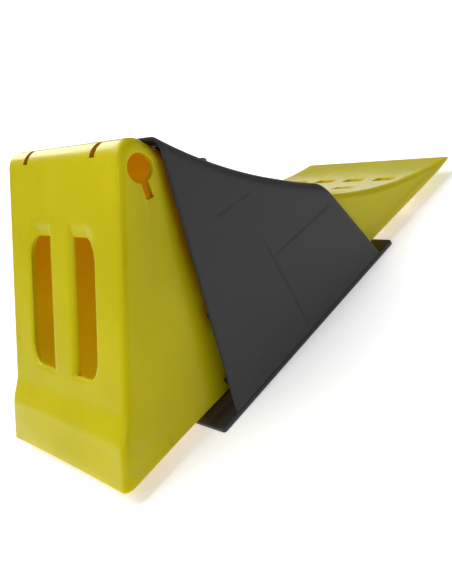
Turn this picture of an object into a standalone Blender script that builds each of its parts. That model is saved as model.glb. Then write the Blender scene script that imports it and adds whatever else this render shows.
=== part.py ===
"""Wheel chock of size 53 (470 x 200 mm, for a truck or trailer wheel) in its slide-in holder.

The chock is a hollow moulded wedge, open underneath, with a hand grip in its back.  It slides
along +X, tip first, into a sleeve that stands on a base plate.  A sprung tongue in the
sleeve's roof presses on the ramp.  Metres, +X towards the tip, +Z up.  Profiles are written in
the chock's own frame, x from the heel and z from the sole, which stands above the base plate's
underside.
"""
import math

import bmesh
import bpy
from mathutils import Vector

# Chock outline
LENGTH = 0.470
BASE_WIDTH = 0.200
TOP_WIDTH = 0.1944
BACK_TOP = Vector((0.1532, 0.2283))
RAMP_TOP = Vector((0.1637, 0.2105))
TIP_TOP = Vector((LENGTH, 0.0038))
RAMP_RADIUS = 0.4525
CREST_START = 0.168
CREST_RADIUS = 0.0145
EDGE_RADIUS = 0.007
HEEL_LEAN = 0.62
BACK_LEAN = 0.656
BACK_FOOT = 0.0035
LEDGE_LOW = 0.030
LEDGE_HIGH = 0.048
TIP_START = 0.440
TIP_THICKNESS = 0.0020
THINNING_REACH = 0.120
THINNING_LEAST = 0.15

# Chock inside
WALL = 0.005
WEB = 0.004
CAVITY_FRONT = 0.430
CREST_WALL = 0.0095
OVERSHOOT = 0.010

# Chock openings
GRIP_Y = (0.021, 0.0565)
GRIP_Z = (0.0635, 0.1585)
GRIP_RADIUS = 0.016
GRIP_CUT = (-0.012, 0.014)
CREST_SLOT_Y = 0.0585
CREST_SLOT_WIDTH = 0.0078
CREST_SLOT_LOW = 0.2095
CREST_SLOT_TOP = (Vector((0.160, 0.235)), Vector((0.120, 0.235)))
KEYHOLE_HEAD = Vector((0.1516, 0.1920))
KEYHOLE_RADIUS = 0.0117
KEYHOLE_FOOT = Vector((0.1460, 0.1683))
KEYHOLE_NECK = 0.0076
KEYHOLE_TURNS = 24
KEYHOLE_CUT = 0.006
RAMP_SLOT = (0.012, 0.024)
RAMP_ROW_FIRST = 0.404
RAMP_ROW_PITCH = 0.040
RAMP_ROWS = 6
RAMP_COLUMNS = 4
RAMP_SLOT_PITCH = 0.041
RAMP_CUT = (-0.009, 0.004)

# Holder
GAP = 0.0003
PLATE_THICKNESS = 0.004
RUNNER_HEIGHT = 0.0095
RUNNER_WIDTH = 0.005
RUNNER_Y = (0.030, 0.082)
RUNNER_END = 0.008
RUNNER_BITE = 0.002
SOLE_HEIGHT = PLATE_THICKNESS + RUNNER_HEIGHT + GAP
PLATE_X = (0.087, 0.344)
PLATE_CORNER = 0.003
SLEEVE_WALL = 0.003
SLEEVE_X = (0.098, 0.334)
ROOF_OFFSET = (0.0056, 0.0092)
ROOF_OFFSET_X = (0.170, 0.260)
ROOF_RADIUS = 0.009
FOOT_HALF_WIDTH = 0.1195
SIDE_RUN_IN = 0.0409
SIDE_LEAN = 0.0489
REAR_RIM = (Vector((0.1052, -SOLE_HEIGHT)), Vector((0.1715, 0.2002)))
FRONT_RIM = (Vector((0.3248, -SOLE_HEIGHT)), Vector((0.3042, 0.0611)))
GUIDE_HEIGHTS = (0.0085, 0.0625, 0.1200)
GUIDE_THICKNESS = 0.003
GUIDE_LEAD_IN = 0.0055
GUIDE_CLEARANCE = 0.0008
GUIDE_SETBACK = (0.0015, 0.002)
GUIDE_HEADROOM = 0.006
GUIDE_STEP = 0.002
ROOF_RIB_Y = 0.050
ROOF_RIB_X = (0.185, 0.292)
FIXING_X = (0.130, 0.300)
FIXING_Y = 0.055
FIXING_SLOT = (0.018, 0.009)
FIXING_CUT = (-0.003, 0.0098)

# Latch tongue
TONGUE_Y = (-0.0905, -0.0765)
TONGUE_THICKNESS = 0.003
TONGUE_ROOT_X = 0.1770
TONGUE_END_X = 0.2045
TONGUE_LIP = 0.0040
TONGUE_CLEARANCE = 0.0008
TONGUE_NOSE_GAP = GAP + 0.0004
WINDOW_X = (TONGUE_ROOT_X - 0.0026, TONGUE_END_X + 0.0024)
WINDOW_CUT = (0.002, 0.004)

YELLOW = (0.62, 0.55, 0.012, 1.0)
DARK_GREY = (0.040, 0.040, 0.041, 1.0)
TONGUE_GREY = (0.048, 0.048, 0.050, 1.0)


def arc_centre(start, end, radius):
    """Centre above the chord of a concave arc through two points."""
    middle = (start + end) / 2
    chord = end - start
    rise = math.sqrt(radius ** 2 - (chord.length / 2) ** 2)
    normal = Vector((-chord.y, chord.x)).normalized()
    return middle + normal * rise


RAMP_CENTRE = arc_centre(RAMP_TOP, TIP_TOP, RAMP_RADIUS)


def ramp_z(x, offset=0.0):
    """Height of the ramp, or of a surface that lies `offset` outside it."""
    return RAMP_CENTRE.y - math.sqrt((RAMP_RADIUS - offset) ** 2 - (RAMP_CENTRE.x - x) ** 2)


def ramp_normal(x):
    """Unit normal that points out of the ramp."""
    return (RAMP_CENTRE - Vector((x, ramp_z(x)))).normalized()


def ramp_point(x, offset):
    """Point that stands `offset` off the ramp, along its normal at x."""
    return Vector((x, ramp_z(x))) + ramp_normal(x) * offset


def roof_offset(x):
    """Distance of the sleeve's roof from the ramp: it grows from the rear rim forwards."""
    share = (x - ROOF_OFFSET_X[0]) / (ROOF_OFFSET_X[1] - ROOF_OFFSET_X[0])
    share = min(max(share, 0.0), 1.0)
    return ROOF_OFFSET[0] + (ROOF_OFFSET[1] - ROOF_OFFSET[0]) * share


def roof_point(x, above=0.0):
    """Point on the roof's outside, or `above` it."""
    return ramp_point(x, roof_offset(x) + above)


def back_x(z):
    """Back face: the heel's steep foot runs through a soft ledge into the leaning back."""
    share = min(max((z - LEDGE_LOW) / (LEDGE_HIGH - LEDGE_LOW), 0.0), 1.0)
    share = share * share * (3 - 2 * share)
    return (1 - share) * HEEL_LEAN * z + share * (BACK_FOOT + BACK_LEAN * z)


def sole_z(x):
    """Flat sole that rises a little towards the tip's edge."""
    share = max((x - TIP_START) / (LENGTH - TIP_START), 0.0)
    return (TIP_TOP.y - TIP_THICKNESS) * (1 - math.cos(share * math.pi / 2))


def half_width(z):
    """Half the chock's width at a height: the sides lean in slightly."""
    return BASE_WIDTH / 2 - (BASE_WIDTH - TOP_WIDTH) / 2 * z / BACK_TOP.y


def steps(start, end, count):
    """Evenly spaced values from start to end, both included."""
    return [start + (end - start) * i / count for i in range(count + 1)]


def fillet(before, corner, after, radius, count):
    """Arc that rounds the corner between two straight runs."""
    first = (before - corner).normalized()
    second = (after - corner).normalized()
    half_angle = first.angle(second) / 2
    reach = radius / math.tan(half_angle)
    centre = corner + (first + second).normalized() * radius / math.sin(half_angle)
    start = corner + first * reach - centre
    sweep = -start.angle_signed(corner + second * reach - centre)
    begin = math.atan2(start.y, start.x)
    return [centre + Vector((math.cos(turn), math.sin(turn))) * radius
            for turn in steps(begin, begin + sweep, count)]


def chock_outline():
    """Side profile, anticlockwise seen from -Y: sole, tip, ramp, crest, back."""
    sole = [Vector((x, sole_z(x))) for x in steps(TIP_START, LENGTH, 8)]
    ramp = [Vector((x, ramp_z(x))) for x in steps(LENGTH, CREST_START, 22)]
    foot = Vector((back_x(LEDGE_HIGH), LEDGE_HIGH))
    crest = fillet(ramp[-1], BACK_TOP, foot, CREST_RADIUS, 5)
    back = [Vector((back_x(z), z)) for z in steps(LEDGE_HIGH, LEDGE_LOW, 5)]
    return [Vector((0.0, 0.0))] + sole + ramp + crest + back


def inset_outline(outline, inset):
    """Outline moved inwards, but less where the wedge is thin and not at the sole."""
    moved = []
    for i, point in enumerate(outline):
        before = (point - outline[i - 1]).normalized()
        after = (outline[(i + 1) % len(outline)] - point).normalized()
        along = (before + after).normalized()
        inward = Vector((-along.y, along.x))
        share = min(1.0, max(THINNING_LEAST, (LENGTH - point.x) / THINNING_REACH))
        inner = point + inward * inset * share
        if point.y <= 0.0:
            inner.y = point.y
        moved.append(inner)
    return moved


def loft(name, loops):
    """Closed mesh through loops of matching points, capped at both ends."""
    mesh = bpy.data.meshes.new(name)
    bm = bmesh.new()
    rings = [[bm.verts.new(point) for point in loop] for loop in loops]
    bm.faces.new(rings[0])
    bm.faces.new(reversed(rings[-1]))
    for ring, following in zip(rings, rings[1:]):
        for i in range(len(ring)):
            j = (i + 1) % len(ring)
            bm.faces.new((ring[j], ring[i], following[i], following[j]))
    bmesh.ops.recalc_face_normals(bm, faces=bm.faces)
    bm.to_mesh(mesh)
    bm.free()
    return mesh


def material(name, colour, roughness):
    """Principled material of a moulded plastic."""
    made = bpy.data.materials.new(name)
    made.use_nodes = True
    shader = made.node_tree.nodes["Principled BSDF"]
    shader.inputs["Base Color"].default_value = colour
    shader.inputs["Roughness"].default_value = roughness
    shader.inputs["Metallic"].default_value = 0.0
    return made


def add_part(name, mesh, parent, finish):
    """Visible piece in the object's collection."""
    piece = bpy.data.objects.new(name, mesh)
    PARTS.objects.link(piece)
    piece.parent = parent
    mesh.materials.append(finish)
    return piece


def add_cutter(name, mesh, parent):
    """Hidden guide solid for a Boolean."""
    piece = bpy.data.objects.new(name, mesh)
    CUTTERS.objects.link(piece)
    piece.parent = parent
    piece.hide_render = True
    piece.display_type = "WIRE"
    return piece


def boolean(piece, other, operation):
    """Exact Boolean with a guide solid."""
    modifier = piece.modifiers.new(other.name, "BOOLEAN")
    modifier.operation = operation
    modifier.object = other
    modifier.solver = "EXACT"


def joined(name, meshes):
    """One mesh that holds several separate solids."""
    bm = bmesh.new()
    for mesh in meshes:
        bm.from_mesh(mesh)
        bpy.data.meshes.remove(mesh)
    result = bpy.data.meshes.new(name)
    bm.to_mesh(result)
    bm.free()
    return result


def prism_y(name, outline, low, high):
    """Solid between two Y limits, each a number or a function of x and z."""
    loops = []
    for limit in (low, high):
        loops.append([(p.x, limit(p.x, p.y) if callable(limit) else limit, p.y) for p in outline])
    return loft(name, loops)


def box(name, low, high):
    """Axis-aligned block."""
    outline = [Vector((low[0], low[2])), Vector((high[0], low[2])),
               Vector((high[0], high[2])), Vector((low[0], high[2]))]
    return prism_y(name, outline, low[1], high[1])


def empty(name, location):
    """Reference frame that pieces hang from."""
    frame = bpy.data.objects.new(name, None)
    frame.location = location
    PARTS.objects.link(frame)
    return frame


# Chock --------------------------------------------------------------------------------------

def chock_shell():
    """Outside of the wedge, with its long edges rounded by insetting the end sections."""
    outline = chock_outline()
    sections = []
    for turn in steps(0.0, math.pi / 2, 3):
        inset = EDGE_RADIUS * (1 - math.sin(turn))
        sections.append((inset_outline(outline, inset), EDGE_RADIUS * (1 - math.cos(turn))))
    loops = []
    for section, depth in sections:
        loops.append([(p.x, depth - half_width(p.y), p.y) for p in section])
    for section, depth in reversed(sections):
        loops.append([(p.x, half_width(p.y) - depth, p.y) for p in section])
    return loft("chock_body", loops)


def chock_cavities(parent):
    """Two hollows beside the middle web, open below the sole and solid at the tip."""
    slope = math.hypot(1.0, BACK_LEAN)
    inner_back = [Vector((back_x(z) + WALL * slope, z)) for z in steps(LEDGE_HIGH, 0.0, 6)]
    inner_back.append(Vector((inner_back[-1].x, -OVERSHOOT)))
    roof = [Vector((x, ramp_z(x, -WALL))) for x in steps(CAVITY_FRONT, CREST_START, 16)]
    inner_top = BACK_TOP - Vector((0.0, CREST_WALL))
    crest = fillet(roof[-1], inner_top, inner_back[0], CREST_RADIUS - WALL, 3)
    outline = [Vector((CAVITY_FRONT, -OVERSHOOT))] + roof + crest + inner_back

    def left(x, z):
        return -(half_width(z) - WALL)

    def right(x, z):
        return half_width(z) - WALL

    solids = [prism_y("cavity", outline, left, -WEB / 2),
              prism_y("cavity", outline, WEB / 2, right)]
    return add_cutter("chock_cavities", joined("chock_cavities", solids), parent)


def grip_slots(parent):
    """Two upright finger slots in the back, straight beside the bar and round outside."""
    low, high = GRIP_Z
    inward = Vector((1.0, -BACK_LEAN)).normalized()
    solids = []
    for side in (-1, 1):
        near, far = (side * y for y in GRIP_Y)
        corners = [Vector((near, low)), Vector((far, low)), Vector((far, high)),
                   Vector((near, high))]
        outline = [corners[0]]
        outline += fillet(corners[0], corners[1], corners[2], GRIP_RADIUS, 4)
        outline += fillet(corners[1], corners[2], corners[3], GRIP_RADIUS, 4)
        outline.append(corners[3])
        solids.append(loft("grip", [[(back_x(p.y) + inward.x * depth, p.x, p.y + inward.y * depth)
                                     for p in outline] for depth in GRIP_CUT]))
    return add_cutter("grip_slots", joined("grip_slots", solids), parent)


def keyhole_outline():
    """Round head with a straight neck that leans down to its foot."""
    down = (KEYHOLE_FOOT - KEYHOLE_HEAD).normalized()
    across = Vector((-down.y, down.x))
    half = KEYHOLE_NECK / 2
    opening = math.asin(half / KEYHOLE_RADIUS)
    head = [KEYHOLE_HEAD + (down * math.cos(turn) + across * math.sin(turn)) * KEYHOLE_RADIUS
            for turn in steps(opening, math.tau - opening, KEYHOLE_TURNS)]
    return head + [KEYHOLE_FOOT - across * half, KEYHOLE_FOOT + across * half]


def small_openings(parent):
    """Crest slots, keyholes in both sides and the staggered slots of the ramp."""
    solids = []
    foot = Vector((back_x(CREST_SLOT_LOW), CREST_SLOT_LOW))
    inward = Vector((1.0, -BACK_LEAN)).normalized()
    crest = [foot + inward * depth for depth in GRIP_CUT]
    crest += CREST_SLOT_TOP
    for side in (-1, 1):
        middle = side * CREST_SLOT_Y
        solids.append(prism_y("crest", crest, middle - CREST_SLOT_WIDTH / 2,
                              middle + CREST_SLOT_WIDTH / 2))
        wall = side * (half_width(RAMP_TOP.y) - WALL / 2)
        solids.append(prism_y("keyhole", keyhole_outline(), wall - KEYHOLE_CUT, wall + KEYHOLE_CUT))
    return add_cutter("small_openings", joined("small_openings", solids), parent)


def ramp_slots(parent):
    """Rows of through slots in the ramp, moved in turn a quarter pitch to either side."""
    length, width = RAMP_SLOT
    solids = []
    for row in range(RAMP_ROWS):
        distance = row * RAMP_ROW_PITCH
        x = RAMP_ROW_FIRST - distance * ramp_normal(RAMP_ROW_FIRST - distance).y
        normal = ramp_normal(x)
        along = Vector((normal.y, -normal.x))
        centre = Vector((x, ramp_z(x)))
        inner, outer = (centre + normal * depth for depth in RAMP_CUT)
        half = along * length / 2
        outline = [inner - half, inner + half, outer + half, outer - half]
        shift = row % 2 / 2 - 0.25 - (RAMP_COLUMNS - 1) / 2
        for place in range(RAMP_COLUMNS):
            y = (place + shift) * RAMP_SLOT_PITCH
            solids.append(prism_y("slot", outline, y - width / 2, y + width / 2))
    return add_cutter("ramp_slots", joined("ramp_slots", solids), parent)


# Holder -------------------------------------------------------------------------------------

def side_y(x, z):
    """Outer half-width of the sleeve: a flat side that leans in upwards and forwards."""
    return FOOT_HALF_WIDTH - SIDE_RUN_IN * (x - PLATE_X[0]) - SIDE_LEAN * (z + SOLE_HEIGHT)


def rim_x(rim, z):
    """X of a rim's straight edge at a height."""
    foot, top = rim
    return foot.x + (top.x - foot.x) * (z - foot.y) / (top.y - foot.y)


def sleeve_surface():
    """Open surface through arch-shaped sections, trimmed by the two slanting rims."""
    foot_z = PLATE_THICKNESS + GAP - SOLE_HEIGHT
    bm = bmesh.new()
    rings = []
    for x in steps(*SLEEVE_X, 20):
        level_x = max(x, BACK_TOP.x)
        roof_z = ramp_z(level_x, roof_offset(level_x))
        drop = ROOF_RADIUS / ramp_normal(level_x).y
        half = [(side_y(x, foot_z), foot_z)]
        for turn in steps(0.0, math.pi / 2, 4):
            z = roof_z - drop * (1 - math.sin(turn))
            half.append((side_y(x, z) - ROOF_RADIUS * (1 - math.cos(turn)), z))
        arch = [(-y, z) for y, z in half] + [(y, z) for y, z in reversed(half)]
        rings.append([bm.verts.new((x, y, z)) for y, z in arch])
    for ring, following in zip(rings, rings[1:]):
        for i in range(len(ring) - 1):
            bm.faces.new((ring[i], following[i], following[i + 1], ring[i + 1]))
    for (foot, top), side in ((REAR_RIM, -1), (FRONT_RIM, 1)):
        edge = (top - foot).normalized()
        outward = Vector((edge.y, 0.0, -edge.x)) * side
        everything = bm.verts[:] + bm.edges[:] + bm.faces[:]
        bmesh.ops.bisect_plane(bm, geom=everything, plane_co=(foot.x, 0.0, foot.y),
                               plane_no=outward, clear_outer=True)
    bmesh.ops.recalc_face_normals(bm, faces=bm.faces)
    mesh = bpy.data.meshes.new("holder_sleeve")
    bm.to_mesh(mesh)
    bm.free()
    return mesh


def guide_ribs(parent):
    """Three long ribs inside each side and two under the roof, which steer the chock."""
    solids = []
    bite = SLEEVE_WALL / 2
    for z in GUIDE_HEIGHTS:
        low, high = z - GUIDE_THICKNESS / 2, z + GUIDE_THICKNESS / 2
        start = rim_x(REAR_RIM, high) + GUIDE_SETBACK[0]
        end = rim_x(FRONT_RIM, high) - GUIDE_SETBACK[1]
        while ramp_z(end) < high + GUIDE_HEADROOM:
            end -= GUIDE_STEP
        for side in (-1, 1):
            inner = side * (half_width(z) + GUIDE_CLEARANCE)
            outline = [Vector((start + GUIDE_LEAD_IN, inner)), Vector((end, inner)),
                       Vector((end, side * (side_y(end, z) - bite))),
                       Vector((start, side * (side_y(start, z) - bite)))]
            solids.append(loft("guide", [[(p.x, p.y, level) for p in outline]
                                         for level in (low, high)]))
    spine = steps(ROOF_RIB_X[0], ROOF_RIB_X[1], 10)
    outline = [ramp_point(x, GUIDE_CLEARANCE) for x in spine]
    outline += [roof_point(x, -bite) for x in reversed(spine)]
    for side in (-1, 1):
        middle = side * ROOF_RIB_Y
        solids.append(prism_y("roof_rib", outline, middle - GUIDE_THICKNESS / 2,
                              middle + GUIDE_THICKNESS / 2))
    return add_cutter("guide_ribs", joined("guide_ribs", solids), parent)


def tongue_window(parent):
    """Opening in the roof that the latch tongue moves in."""
    spine = steps(*WINDOW_X, 6)
    outline = [ramp_point(x, WINDOW_CUT[0]) for x in spine]
    outline += [roof_point(x, WINDOW_CUT[1]) for x in reversed(spine)]
    mesh = prism_y("tongue_window", outline, TONGUE_Y[0] - TONGUE_CLEARANCE,
                   TONGUE_Y[1] + TONGUE_CLEARANCE)
    return add_cutter("tongue_window", mesh, parent)


def base_plate():
    """Plate whose edges carry on the slant of the sleeve's sides, with rounded corners."""
    rear, front = PLATE_X
    loops = []
    for z in (-SOLE_HEIGHT, PLATE_THICKNESS - SOLE_HEIGHT):
        corners = [Vector((rear, -side_y(rear, z))), Vector((front, -side_y(front, z))),
                   Vector((front, side_y(front, z))), Vector((rear, side_y(rear, z)))]
        outline = []
        for i in range(4):
            outline += fillet(corners[i - 1], corners[i], corners[(i + 1) % 4], PLATE_CORNER, 3)
        loops.append([(p.x, p.y, z) for p in outline])
    return loft("holder_base_plate", loops)


def plate_runners(parent):
    """Four long runners that carry the chock above the fixing screws."""
    solids = []
    for middle in (-RUNNER_Y[1], -RUNNER_Y[0], RUNNER_Y[0], RUNNER_Y[1]):
        low = (PLATE_X[0] + RUNNER_END, middle - RUNNER_WIDTH / 2, -SOLE_HEIGHT + RUNNER_BITE)
        high = (PLATE_X[1] - RUNNER_END, middle + RUNNER_WIDTH / 2, -GAP)
        solids.append(box("runner", low, high))
    return add_cutter("plate_runners", joined("plate_runners", solids), parent)


def fixing_slots(parent):
    """Four slotted screw holes on a rectangle."""
    length, width = FIXING_SLOT
    radius = width / 2
    solids = []
    for x in FIXING_X:
        for y in (-FIXING_Y, FIXING_Y):
            outline = []
            for end, start_turn in ((1, -math.pi / 2), (-1, math.pi / 2)):
                middle = x + end * (length / 2 - radius)
                for turn in steps(start_turn, start_turn + math.pi, 6):
                    outline.append((middle + radius * math.cos(turn), y + radius * math.sin(turn)))
            solids.append(loft("slot", [[(a, b, z) for a, b in outline]
                                        for z in (FIXING_CUT[0] - SOLE_HEIGHT,
                                                  FIXING_CUT[1] - SOLE_HEIGHT)]))
    return add_cutter("fixing_slots", joined("fixing_slots", solids), parent)


def latch_tongue(parent, finish):
    """Strip flush with the roof, with a round root, a nose on the ramp and a thumb lip."""
    pivot = roof_point(TONGUE_ROOT_X, -TONGUE_THICKNESS / 2)
    normal = ramp_normal(TONGUE_ROOT_X)
    along = Vector((normal.y, -normal.x))
    root = [pivot + (normal * math.cos(turn) - along * math.sin(turn)) * TONGUE_THICKNESS / 2
            for turn in steps(0.0, math.pi, 6)]
    lower = [roof_point(x, -TONGUE_THICKNESS)
             for x in steps(TONGUE_ROOT_X + 0.003, TONGUE_END_X - 0.011, 4)]
    nose = [ramp_point(TONGUE_END_X - 0.007, TONGUE_NOSE_GAP),
            ramp_point(TONGUE_END_X - 0.004, TONGUE_NOSE_GAP),
            roof_point(TONGUE_END_X - 0.001, -TONGUE_THICKNESS)]
    lip = [roof_point(TONGUE_END_X, -0.001),
           roof_point(TONGUE_END_X, TONGUE_LIP - 0.001),
           roof_point(TONGUE_END_X - 0.001, TONGUE_LIP),
           roof_point(TONGUE_END_X - 0.003, TONGUE_LIP - 0.0005),
           roof_point(TONGUE_END_X - 0.0055)]
    upper = [roof_point(x)
             for x in steps(TONGUE_END_X - 0.010, TONGUE_ROOT_X + 0.003, 4)]
    outline = root + lower + nose + lip + upper
    curve = bpy.data.curves.new("latch_tongue", "CURVE")
    curve.dimensions = "2D"
    curve.fill_mode = "BOTH"
    curve.resolution_u = 1
    curve.render_resolution_u = 0
    curve.extrude = (TONGUE_Y[1] - TONGUE_Y[0]) / 2
    spline = curve.splines.new("POLY")
    spline.points.add(len(outline) - 1)
    for place, point in zip(spline.points, outline):
        place.co = (point.x - pivot.x, point.y - pivot.y, 0.0, 1.0)
    spline.use_cyclic_u = True
    piece = add_part("latch_tongue", curve, parent, finish)
    piece.rotation_euler = (math.pi / 2, 0.0, 0.0)
    piece.location = (pivot.x, sum(TONGUE_Y) / 2, pivot.y)
    return piece


for old in list(bpy.data.objects):
    bpy.data.objects.remove(old, do_unlink=True)

PARTS = bpy.data.collections.new("wheel_chock")
CUTTERS = bpy.data.collections.new("cutters")
bpy.context.scene.collection.children.link(PARTS)
bpy.context.scene.collection.children.link(CUTTERS)

CORNER = (-LENGTH / 2, 0.0, SOLE_HEIGHT)
holder_frame = empty("holder_frame", CORNER)
chock_frame = empty("chock_frame", CORNER)
yellow = material("yellow_polyethylene", YELLOW, 0.38)
dark_grey = material("dark_grey_polypropylene", DARK_GREY, 0.55)
tongue_grey = material("tongue_polypropylene", TONGUE_GREY, 0.50)

chock = add_part("chock_body", chock_shell(), chock_frame, yellow)
for cutter in (chock_cavities(chock_frame), grip_slots(chock_frame),
               small_openings(chock_frame), ramp_slots(chock_frame)):
    boolean(chock, cutter, "DIFFERENCE")

sleeve = add_part("holder_sleeve", sleeve_surface(), holder_frame, dark_grey)
skin = sleeve.modifiers.new("wall", "SOLIDIFY")
skin.thickness = SLEEVE_WALL
skin.offset = -1.0
skin.use_even_offset = True
boolean(sleeve, guide_ribs(holder_frame), "UNION")
boolean(sleeve, tongue_window(holder_frame), "DIFFERENCE")

plate = add_part("holder_base_plate", base_plate(), holder_frame, dark_grey.copy())
boolean(plate, plate_runners(holder_frame), "UNION")
boolean(plate, fixing_slots(holder_frame), "DIFFERENCE")

latch_tongue(holder_frame, tongue_grey)
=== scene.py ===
"""Wheel chock in its slide-in holder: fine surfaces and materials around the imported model.

Shapes are written in the chock's own frame, x from the heel and z from the sole, and each piece
is moved to the model's frame at the end.  Metres, +X towards the chock's tip, +Z up.
"""
import math

import bmesh
import bpy
from mathutils import Matrix, Vector


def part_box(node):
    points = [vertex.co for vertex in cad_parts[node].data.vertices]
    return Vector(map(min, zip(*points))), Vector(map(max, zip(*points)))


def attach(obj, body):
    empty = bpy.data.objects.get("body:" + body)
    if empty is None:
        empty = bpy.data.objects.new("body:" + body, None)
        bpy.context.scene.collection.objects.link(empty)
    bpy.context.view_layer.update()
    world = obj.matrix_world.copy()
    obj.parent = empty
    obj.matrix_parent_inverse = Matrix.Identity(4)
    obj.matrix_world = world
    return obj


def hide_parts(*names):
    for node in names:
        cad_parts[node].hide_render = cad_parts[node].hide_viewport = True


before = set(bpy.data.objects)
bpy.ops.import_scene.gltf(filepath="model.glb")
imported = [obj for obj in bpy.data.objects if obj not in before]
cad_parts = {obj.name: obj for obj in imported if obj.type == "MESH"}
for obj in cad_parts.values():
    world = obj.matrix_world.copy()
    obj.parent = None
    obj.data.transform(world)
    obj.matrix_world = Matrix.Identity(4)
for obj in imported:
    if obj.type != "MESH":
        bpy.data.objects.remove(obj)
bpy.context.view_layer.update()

CHOCK_LOW, CHOCK_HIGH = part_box("chock_body")
PLATE_LOW, PLATE_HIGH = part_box("holder_base_plate")

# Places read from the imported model
GAP = 0.0003
SOLE_HEIGHT = PLATE_HIGH.z + GAP
LENGTH = CHOCK_HIGH.x - CHOCK_LOW.x
ORIGIN = Vector((CHOCK_LOW.x, 0.0, SOLE_HEIGHT))
PLATE_X = (PLATE_LOW.x - ORIGIN.x, PLATE_HIGH.x - ORIGIN.x)

# Chock outline
BASE_WIDTH = 0.200
TOP_WIDTH = 0.1944
BACK_TOP = Vector((0.1532, 0.2283))
RAMP_TOP = Vector((0.1637, 0.2105))
TIP_TOP = Vector((LENGTH, 0.0038))
RAMP_RADIUS = 0.4525
CREST_START = 0.168
CREST_RADIUS = 0.0153
EDGE_RADIUS = 0.007
HEEL_LEAN = 0.62
BACK_LEAN = 0.656
BACK_FOOT = 0.0035
LEDGE_LOW = 0.030
LEDGE_HIGH = 0.048
TIP_START = 0.440
TIP_THICKNESS = 0.0020
THINNING_REACH = 0.120
THINNING_LEAST = 0.15
INWARD = Vector((1.0, -BACK_LEAN)).normalized()  # into the chock, square to its back
HEEL_REACH = 0.080
HEEL_FLARE = 0.0020
HEEL_ARCH = 0.0028
FLARE_FADE = (0.020, 0.046)
ARCH_FADE = 0.030

# Steps of the chock's skin: along its side profile, round its edges and from side to side
HEEL_STEPS = 16
SOLE_START = HEEL_REACH + 0.04
SOLE_STEPS = 6
TIP_STEPS = 18
RAMP_STEPS = 44
CREST_STEPS = 16
BACK_STRETCHES = ((0.178, 10), (0.054, 84), (0.0, 22))  # lower end and steps of each stretch
EDGE_STEPS = 6
SKIN_STEPS = 112
HEEL_CUTS_X = (0.012, HEEL_REACH, 6)
HEEL_CUTS_Z = (0.008, LEDGE_HIGH, 5)
SIDE_FACING = 0.99

# Chock inside and openings
WALL = 0.005
WEB = 0.004
CAVITY_FRONT = 0.430
CREST_WALL = 0.0095
OVERSHOOT = 0.010
GRIP_Y = (0.021, 0.0565)
GRIP_Z = (0.0635, 0.1585)
GRIP_RADIUS = 0.016
GRIP_TURNS = 14
GRIP_CUT = (-0.012, 0.014)
LIP_RADIUS = 0.0024
BAR_CORNER = 0.0005
BAR_RADIUS = 0.0090
DISH_REACH = 0.0120
DISH_DEPTH = 0.0026
DISH_TOP = GRIP_Z[1] + 0.020
DISH_SIDE = 0.004
DISH_RISE = GRIP_RADIUS * 0.4
CREST_SLOT_Y = 0.0585
CREST_SLOT_WIDTH = 0.0078
CREST_SLOT_LOW = 0.2095
CREST_SLOT_TOP = (Vector((0.160, 0.235)), Vector((0.120, 0.235)))
KEYHOLE_HEAD = Vector((0.1516, 0.1920))
KEYHOLE_RADIUS = 0.0117
KEYHOLE_FOOT = Vector((0.1460, 0.1683))
KEYHOLE_NECK = 0.0076
KEYHOLE_TURNS = 24
KEYHOLE_CORNER = 0.0012
KEYHOLE_LIP = 0.0005
RAMP_SLOT = (0.012, 0.024)
RAMP_ROW_FIRST = 0.404
RAMP_ROW_PITCH = 0.040
RAMP_ROWS = 6
RAMP_COLUMNS = 4
RAMP_SLOT_PITCH = 0.041
RAMP_SLOT_CORNER = 0.0022
RAMP_SLOT_LIP = 0.0008
LIP_STEPS = 3
CUT_ROOM = 0.004
SKIM = 0.00005  # keeps a cutter's mouth off the surface that it cuts

# Holder
PLATE_THICKNESS = 0.004
PLATE_CORNER = 0.003
PLATE_EDGE = 0.0006
RUNNER_WIDTH = 0.005
RUNNER_Y = (0.030, 0.082)
RUNNER_END = 0.008
RUNNER_BITE = 0.002
SLEEVE_WALL = 0.003
ROOF_OFFSET = (0.0056, 0.0092)
ROOF_OFFSET_X = (0.170, 0.260)
ROOF_RADIUS = 0.009
SLEEVE_STEPS = 56
RIM_TURNS = 6
RIM_ROUNDS = 16
FOOT_HALF_WIDTH = 0.1195
SIDE_RUN_IN = 0.0409
SIDE_LEAN = 0.0489
REAR_RIM = (Vector((0.1052, -SOLE_HEIGHT)), Vector((0.1715, 0.2002)))
FRONT_RIM = (Vector((0.3248, -SOLE_HEIGHT)), Vector((0.3042, 0.0611)))
GUIDE_HEIGHTS = (0.0085, 0.0625, 0.1200)
GUIDE_THICKNESS = 0.003
GUIDE_LEAD_IN = 0.0055
GUIDE_CLEARANCE = 0.0008
GUIDE_SETBACK = (0.0015, 0.002)
GUIDE_HEADROOM = 0.006
GUIDE_STEP = 0.002
ROOF_RIB_Y = 0.050
ROOF_RIB_X = (0.185, 0.292)
FIXING_X = (0.130, 0.300)
FIXING_Y = 0.055
FIXING_SLOT = (0.018, 0.009)
FIXING_CUT = (-0.003, 0.0098)
BEVEL_DEGREES = 40.0

# Faint sink marks over the ribs and one upright line, each a shallow dent with painted shade along
# it, as pairs of points on the sleeve's side
SLEEVE_DENTS_WITH_PAINTED_SHADE = (((0.216, 0.0665), (0.293, 0.0640)), ((0.185, 0.1265), (0.224, 0.1235)),
                ((0.2105, -0.002), (0.212, 0.088)))
MARK_RADIUS = 0.0022

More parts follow.
